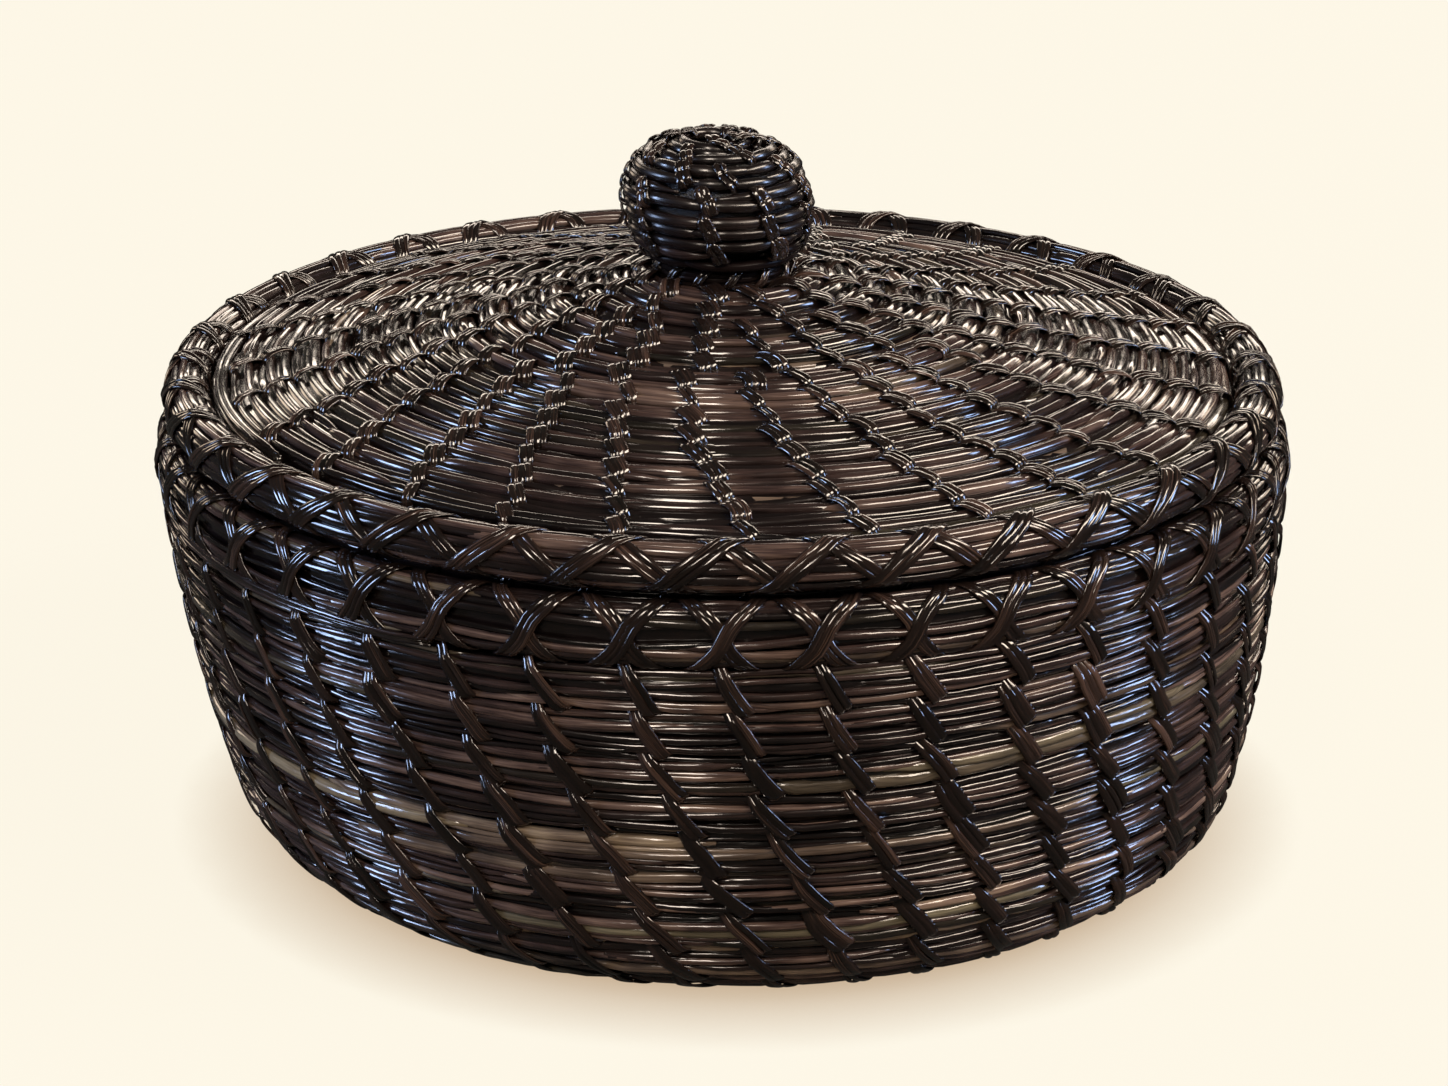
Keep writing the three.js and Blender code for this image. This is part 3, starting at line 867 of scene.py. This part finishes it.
def stitches(name, kit, row, face, seed, lift=0.1, sag=0.4, power=4, ripple=0, dive=2.2, entry=0.16,
             leave=0.16, ply_width=1.5, spacing=1.15, high=PLY_HALF, triple=0.2, narrow=0.4, opens=0.35,
             steps=9):
    """n = half thickness + lift - sag * |w|^power - dive * (nearness to an end)^2 + ripple cos 3 pi (v + 1).

    v runs from seam to seam over the row's reach, and w is v counted from the middle of the nearest turn.
    Lengths are in mm. entry, leave and opens are shares of a stitch's length, and triple of the stitches."""
    rng = np.random.default_rng(seed)
    form = row.form
    p = np.linspace(0, 1, steps)
    start, end = row.reach
    v = np.broadcast_to(start + (end - start) * p, (len(row.turns), steps))
    lean = (np.interp(row.turns, *row.slant.T) * rng.normal(1, 0.12, len(v)))[:, None] * (p - 0.5)
    bow_out = 0.5 * np.sin(np.pi * p) * rng.normal(0, 1, len(v))[:, None]
    offset = row.jitter[row.numbers][:, None] + lean + bow_out
    around = TURN * np.maximum(radius_of(form, row.turns), LEAST_RADIUS)[:, None]
    turn = np.clip(row.turns[:, None] + offset / around, 0, form.turns)
    edge = np.maximum(0, np.maximum(1 - p / entry, 1 - (1 - p) / leave))
    wave = np.abs(((v + 1) % 2) - 1) ** power
    skin = form.thick / 2
    n = skin + lift - sag * wave - dive * edge**2 + ripple * np.cos(3 * np.pi * (v + 1))
    centre, _, normal = on_coil(form, turn, v, n, face)
    side, up = strip_frame(centre, normal, axis=1)

    plies = rng.choice([2, 3], len(v), p=[1 - triple, triple])
    stitch, ply = np.nonzero(np.arange(3) < plies[:, None])
    many = len(stitch)
    from_middle = ply - (plies[stitch] - 1) / 2
    place_of = from_middle * spacing * rng.normal(1, 0.06, many)
    opening = 1 - (1 - narrow) * (1 - np.clip((p - 0.10) / opens, 0, 1))
    spread = 0.10 + 0.95 * opening + rng.normal(0, 0.06, many)[:, None] * (p - 0.5)
    roll = (rng.normal(0, 0.13, many) - 0.10 * from_middle)[:, None, None]
    middle = centre[stitch] + side[stitch] * (place_of[:, None] * spread)[..., None]
    middle = middle + up[stitch] * (rng.normal(0, 0.05, many)[:, None, None])
    full = course(form, turn)[2][stitch]
    width = ply_width / 2 * rng.normal(1, 0.10, many)[:, None]
    wide = width * (0.45 + 0.55 * opening) * (0.5 + 0.5 * full)
    strand = np.repeat(np.arange(many), steps)
    distance = np.tile(np.linspace(0, STITCH_LENGTH, steps), many)
    distance = distance + np.repeat(rng.uniform(0, LEAF_RUN, many), steps)
    tone = np.repeat(np.clip(rng.normal(0.42, 0.16, many), 0, 1), steps)
    frames = [part.reshape(-1, 3) for part in (middle, *rolled(side[stitch], up[stitch], roll))]
    build(name, kit, strand, frames, wide.ravel(), np.full(wide.size, high), PLY_OUTLINE,
          distance, tone, 0 * tone)


stitches("wall_stitches", basket_leaf, wall_row, OUTSIDE, 41, lift=0.30, sag=0.60, dive=2.8, ply_width=2.05,
         spacing=1.60, steps=17, opens=0.30, narrow=0.70, entry=0.30)
stitches("wall_stitches_inside", basket_leaf, wall_row, INSIDE, 42, sag=0.45, ply_width=1.6, spacing=1.2)
stitches("floor_stitches", basket_leaf, floor_row, INSIDE, 43, triple=0.3)
stitches("floor_stitches_under", basket_leaf, floor_row, OUTSIDE, 44, steps=8)
stitches("lid_stitches", lid_leaf, lid_row, OUTSIDE, 45, lift=0.34, sag=1.3, ply_width=1.9, spacing=1.32,
         triple=0.7, steps=17, power=2.5, opens=0.12, narrow=0.8, entry=0.24, leave=0.14, ripple=0.03,
         high=0.30)
stitches("lid_stitches_under", lid_leaf, lid_row, INSIDE, 46, dive=2.0, ply_width=1.4, spacing=1.1)

# %% [markdown]
# A rim is a bundle of its own, straight along the circle, with stems all the way round it. A point on
# it is given by the angle round the basket and the angle round the bundle, 0 being outwards. Both rims
# swell a little past the frame's, as loose stems do. A thin ring of stems closes the seam between the lid's
# last turn and its rim, where daylight would show; its stems are kept dark, painted shade for the seam.


# %% Places on a rim
def ring_form(radius, z, wide, high, crosses=1, lean=0, square=1.0, crossing=0, quickest=0, haste=0):
    """crosses is how often its strands cross; crossing and quickest are angles round it, in degrees."""
    return Record(radius=radius, z=z, a=wide / 2, b=high / 2, lean=lean, square=square, crosses=crosses,
                  crossing=math.radians(crossing), quickest=math.radians(quickest), haste=haste)


def on_ring(ring, angle, phi, n):
    """x = a cos^q phi and y = b sin^q phi, with their signs kept, then n outwards. Heights gain lean x."""
    c, s = np.cos(phi), np.sin(phi)
    q = ring.square
    x = ring.a * np.sign(c) * np.abs(c) ** q
    y = ring.b * np.sign(s) * np.abs(s) ** q
    nr = np.sign(c) * np.abs(c) ** (2 - q) / ring.a
    nz = np.sign(s) * np.abs(s) ** (2 - q) / ring.b
    size = np.hypot(nr, nz)
    nr, nz = nr / size, nz / size
    away = x + nr * n
    return turned(angle, ring.radius + away, ring.z + y + nz * n + ring.lean * away, nr, nz)


def strand_lag(ring, phi):
    """The share of a winding gone since the crossing, from (phi + haste sin(phi - quickest)) / 2 pi."""
    swing = phi + ring.haste * np.sin(phi - ring.quickest)
    return (swing - ring.crossing - ring.haste * math.sin(ring.crossing - ring.quickest)) / TURN


def lashing_distance(ring, angle, phi):
    """Millimetres along the rim to the nearer of the two strands."""
    spacing = TURN / ring.crosses
    best = np.full(len(angle), FAR)
    for hand in (1, -1):
        miss = angle / spacing - hand * strand_lag(ring, phi)
        best = np.minimum(best, np.abs(miss - np.round(miss)) * spacing * ring.radius)
    return best


RIM_SWELL = 0.9
LID_RIM_SWELL = 0.6
SEAM_RING = 3.4
MOUTH_CLEARANCE = 1.5
RING_WIDTH = 7.0
RING_HEIGHT = 9.0

basket_rim = ring_form(rim_radius, rim_z + RIM_SWELL / 2, RIM_WIDTH, RIM_HEIGHT + RIM_SWELL, crosses=40,
                       square=0.72, haste=0.6)
lid_rim = ring_form(lid_rim_radius, lid_rim_z - LID_RIM_SWELL / 2, LID_RIM_DIAMETER,
                    LID_RIM_DIAMETER + LID_RIM_SWELL, crosses=36, crossing=70, quickest=22, haste=1.0)
lid_seam = ring_form(lid_edge - 0.4, lid_rim_z - 1.0, SEAM_RING, SEAM_RING, crosses=36)
ring_radius = rim_radius - RIM_WIDTH / 2 - LASHING_ROOM - MOUTH_CLEARANCE - RING_WIDTH / 2
over_ring = lid_rim_z + (lid_edge - ring_radius) * math.tan(LID_SLOPE)
ring_z = over_ring - lid_rise - CLEARANCE - RING_HEIGHT / 2
locating_ring = ring_form(ring_radius, ring_z, RING_WIDTH, RING_HEIGHT, crosses=44, lean=-math.tan(LID_SLOPE),
                          crossing=-90, quickest=-90, haste=0.3)
print(f"rim radii: basket {rim_radius:.1f}, lid {lid_rim_radius:.1f}, locating ring {ring_radius:.1f}")

# %% [markdown]
# The two strands of a rim cross as a row of X's. Each is a few strips side by side that wind round and
# round the bundle: one rises towards the right and goes over, the other falls and goes under. The stems
# sink in beneath them, as they do beneath the stitches.

# %% Rim stems and strands
CORE_INSET = 1.1
RING_CORE_STEP = 8.0
RING_STEMS = (70, 230)
RING_OVERLAP = 6
RING_PINCH = 2.3


def ring_stems(name, kit, ring, lanes, seed, radius, sink=0.0, step=3.6, palest=0.72, olive=0.15):
    """n = 0.35 - width - sink + chance - 0.4 * pinch - (1 at a tip), outwards of the ring's own outline."""
    rng = np.random.default_rng(seed)
    around = TURN * ring.radius
    lane, start, end = cut_lanes(rng, lanes, 0, around, *RING_STEMS)
    end = np.minimum(end + TIP, around + RING_OVERLAP)
    count = len(lane)
    strand, _, distance, taper = along_stems(start, end, step)
    angle = (start[strand] + distance) / ring.radius
    size = radius * np.exp(rng.normal(0, 0.17, count))
    tone = np.clip(rng.beta(2.2, 3.0, count) * palest, 0, 1)
    green = np.where(rng.random(count) < olive, rng.uniform(0.3, 1, count), 0)
    waves = rng.uniform(0, TURN, (3, count))[:, strand]
    phi = TURN * (lane[strand] + rng.normal(0, 0.12, count)[strand]) / lanes
    phi = phi + 0.06 * np.sin(distance / 18 + waves[0])
    phi = phi + 0.04 * np.sin(distance / 8 + waves[1])
    pinch = np.exp(-((lashing_distance(ring, angle, phi) / RING_PINCH) ** 2))
    thin = (0.3 + 0.7 * taper) * (1 + 0.05 * np.sin(distance / 4 + waves[2]))
    wide = size[strand] * thin * (1 - 0.08 * pinch)
    n = 0.35 - wide - sink + rng.normal(0, 0.15, count)[strand] - 0.4 * pinch - 1.0 * (1 - taper)
    build(name, kit, strand, on_ring(ring, angle, phi, n), wide, wide, STEM_OUTLINE,
          distance + rng.uniform(0, TEXTURE_RUN, count)[strand], tone[strand], green[strand])


def ring_core(name, kit, ring):
    """A ring, CORE_INSET smaller than the rim's own outline all round, near black as painted shade."""
    around = TURN * ring.radius
    strand, share = stations(np.array([around]), RING_CORE_STEP)
    angle = share * (TURN + 0.01)
    centre, _, out = on_ring(ring, angle, 0 * angle, 0 * angle - ring.a)
    tall = np.broadcast_to((0.0, 0.0, 1.0), out.shape)
    wide = np.full(len(angle), ring.a - CORE_INSET)
    high = np.full(len(angle), ring.b - CORE_INSET)
    tone = np.full(len(angle), SHADE_CORE_TONE)
    build(name, kit, strand, (centre, out, tall), wide, high, CORE_OUTLINE, share * around, tone, 0 * tone)


def ring_lashing(name, kit, ring, hand, over, seed, plies, ply_width, spacing, lift=0.36, per_wind=26):
    """One strand of several strips: angle = hand * lag(phi) * one crossing, while phi runs round and round.

    n = lift + over * (0.10 + 0.52 cos^8 (2 pi lag)), which is highest where the strands cross."""
    rng = np.random.default_rng(seed)
    winds = ring.crosses
    phi = np.linspace(-np.pi, TURN * winds - np.pi, per_wind * winds + 1) * hand
    angle = hand * strand_lag(ring, phi) * TURN / winds
    angle = angle + 0.35 / ring.radius * np.sin(phi / 2 * 0.37 + seed)
    crossing = np.cos(TURN * strand_lag(ring, phi)) ** 8
    centre, _, normal = on_ring(ring, angle, phi, lift + over * (0.10 + 0.52 * crossing))
    side, up = strip_frame(centre, normal, axis=0)
    length = np.r_[0, np.cumsum(np.linalg.norm(np.diff(centre, axis=0), axis=1))]
    strips = []
    for ply in range(plies):
        waves = rng.uniform(0, TURN, 4)
        from_middle = ply - (plies - 1) / 2
        offset = from_middle * spacing * (1 + 0.16 * np.sin(length / 17 + waves[0]))
        offset = offset + 0.14 * np.sin(length / 41 + waves[1])
        roll = (0.16 * np.sin(length / 13 + waves[2]) - 0.12 * from_middle)[:, None]
        middle = centre + side * offset[:, None] + up * (0.07 * np.sin(length / 19 + waves[3]))[:, None]
        strips.append((middle, *rolled(side, up, roll)))
    frames = [np.concatenate(part) for part in zip(*strips)]
    strand = np.repeat(np.arange(plies), len(phi))
    wide = np.full(len(strand), ply_width / 2)
    along = np.tile(length, plies) + 700 * strand
    tone = np.clip(0.40 + 0.16 * np.sin(along / 23) + 0.10 * np.sin(along / 7), 0, 1)
    build(name, kit, strand, frames, wide, np.full(len(strand), PLY_HALF), PLY_OUTLINE, along, tone, 0 * tone)


ring_core("basket_rim_core", stands_for(basket_kit, "basket_rim_bundle"), basket_rim)
ring_core("lid_rim_core", stands_for(lid_kit, "lid_rim_bundle"), lid_rim)
ring_core("locating_ring_core", stands_for(lid_kit, "lid_locating_ring"), locating_ring)
ring_stems("basket_rim_stems", basket_kit, basket_rim, 18, 51, radius=0.92)
ring_stems("lid_rim_stems", lid_kit, lid_rim, 15, 52, radius=1.05, olive=0.05)
# palest 0.35 keeps these stems dark: painted shade in the seam.
ring_stems("lid_seam_stems", lid_kit, lid_seam, 7, 54, radius=0.9, step=5.0, palest=0.35, olive=0)
ring_stems("locating_ring_stems", lid_kit, locating_ring, 15, 53, radius=0.95, step=5.0)
for name, rim, leaf, hand, seed, ply_width, spacing, lift in (
    ("basket_rim_lashing", basket_rim, basket_leaf, 1, 61, 1.55, 1.12, 0.36),
    ("basket_rim_lashing", basket_rim, basket_leaf, -1, 62, 1.45, 1.05, 0.36),
    ("lid_rim_lashing", lid_rim, lid_leaf, 1, 63, 1.7, 1.25, 0.28),
    ("lid_rim_lashing", lid_rim, lid_leaf, -1, 64, 1.55, 1.15, 0.28),
):
    way, level, over = ("rising", "over", 1) if hand > 0 else ("falling", "under", 0)
    kit = stands_for(leaf, f"{name}_{level}")
    ring_lashing(f"{name}_{way}", kit, rim, hand, over, seed, 3, ply_width, spacing, lift)
ring_lashing("locating_ring_lashing", lid_leaf, locating_ring, 1, 0, 65, 2, 1.5, 1.15, per_wind=16)

# %% [markdown]
# The knob is a ball of grass wound with one thick stem at a time, side by side from the crown to the
# neck, and strapped with short double strips that each hold two rows, so every other row has straps.

# %% Knob stems and straps
knob_rates = [(0, 4.0), (2, 5.5), (4, 8.0), (6, 9.0), (10, 9.0), (14, 8.0)]
knob_row = stitch_row(knob, 0.6, knob.turns - 1.2, knob_rates, [(0, 2.6)], (-1.2, 3.1), 14, 1.0)
skipped = np.floor(knob_row.turns + 0.4) % 2 == 0
knob_row.jitter[knob_row.numbers[skipped]] = FAR
knob_row.turns = knob_row.turns[~skipped]
knob_row.numbers = knob_row.numbers[~skipped]
knob_rows = [(knob_row, 0), (knob_row, -1)]
coil_stems("knob_stems", stands_for(knob_kit, "knob_coil"), knob, knob_span, OUTSIDE, [0.0], knob_rows, 71,
           radius=1.42, spread=0.09, sink=-0.10, step=1.2, short=22, long=48, thick=0, power=40, drift=0.26,
           wander=0.10, proud=0.22, squeeze=0.20, pinch_width=1.9, palest=0.34, olive=0, pale=0)
stitches("knob_straps", lid_leaf, knob_row, OUTSIDE, 72, lift=0.16, sag=0.60, dive=1.6, ply_width=2.0,
         spacing=1.5, triple=0.1, steps=19, opens=0.1)

# %% [markdown]
# A collar of thin stems and one double strand hide where the knob meets the lid. The wad inside is a
# turned shape: a plug in the lid's eye and a ball a little smaller than the winding, so that dark grass
# shows between the stems and never a hole. It takes the darkest tone, painted shade for those gaps.

# %% Neck collar and wad
COLLAR_RADIUS = 13.9
COLLAR_DROP = 0.4
COLLAR_WIDTH = 2.4
COLLAR_HEIGHT = 4.4
WAD_DEPTH = 1.5
WAD_EYE = 0.3
WAD_RINGS = 24
WAD_SIDES = 40


def lathe(name, kit, profile_points, sides):
    """A closed turned shape: (radius cos a + lean, radius sin a, height), for each point of the profile."""
    points = np.array(profile_points, float)
    rings = len(points)
    angle = np.linspace(0, TURN, sides, endpoint=False)
    lean = knob_shift(np.maximum(points[:, 1], neck_z))
    x = points[:, :1] * np.cos(angle) + lean[:, None]
    y = points[:, :1] * np.sin(angle)
    z = np.broadcast_to(points[:, 1:], x.shape)
    grid = np.stack([x, y, z], -1).reshape(-1, 3) * MM
    i, j = np.meshgrid(np.arange(rings - 1), np.arange(sides), indexing="ij")
    k = (j + 1) % sides
    above = i + 1
    faces = np.stack([i * sides + j, i * sides + k, above * sides + k, above * sides + j], -1).reshape(-1, 4)
    lids = [list(range(sides))[::-1], [(rings - 1) * sides + a for a in range(sides)]]
    mesh = bpy.data.meshes.new(name)
    mesh.from_pydata(grid.tolist(), [], faces.tolist() + lids)
    mesh.uv_layers.new(name="grass")
    # Tone 0 throughout, the darkest: painted shade for what shows between the knob's stems.
    tint(mesh, np.zeros(len(grid)), np.zeros(len(grid)))
    put(name, mesh, kit)


neck = ring_form(COLLAR_RADIUS, neck_z - COLLAR_DROP, COLLAR_WIDTH, COLLAR_HEIGHT, 13, square=0.8, haste=0.5)
ring_stems("knob_neck_stems", knob_kit, neck, 9, 73, radius=0.8, sink=0.1, step=2.0, palest=0.3, olive=0)
ring_lashing("knob_neck_strands", lid_leaf, neck, 1, 1, 74, 2, 1.1, 0.9, lift=0.2, per_wind=12)
r, z, tr, tz = on(knob_path, np.linspace(knob_end, 0.5, WAD_RINGS))
ball = np.stack([np.maximum(r + tz * WAD_DEPTH, WAD_EYE), z - tr * WAD_DEPTH], -1)
plug = [(13.3, neck_z - 2 * lid_rise + 0.4), (13.6, neck_z - lid_rise), (13.4, neck_z)]
lathe("knob_wad", stands_for(knob_kit, "knob_core"), plug + ball.tolist(), WAD_SIDES)
print("triangles of all strands:", sum(totals))
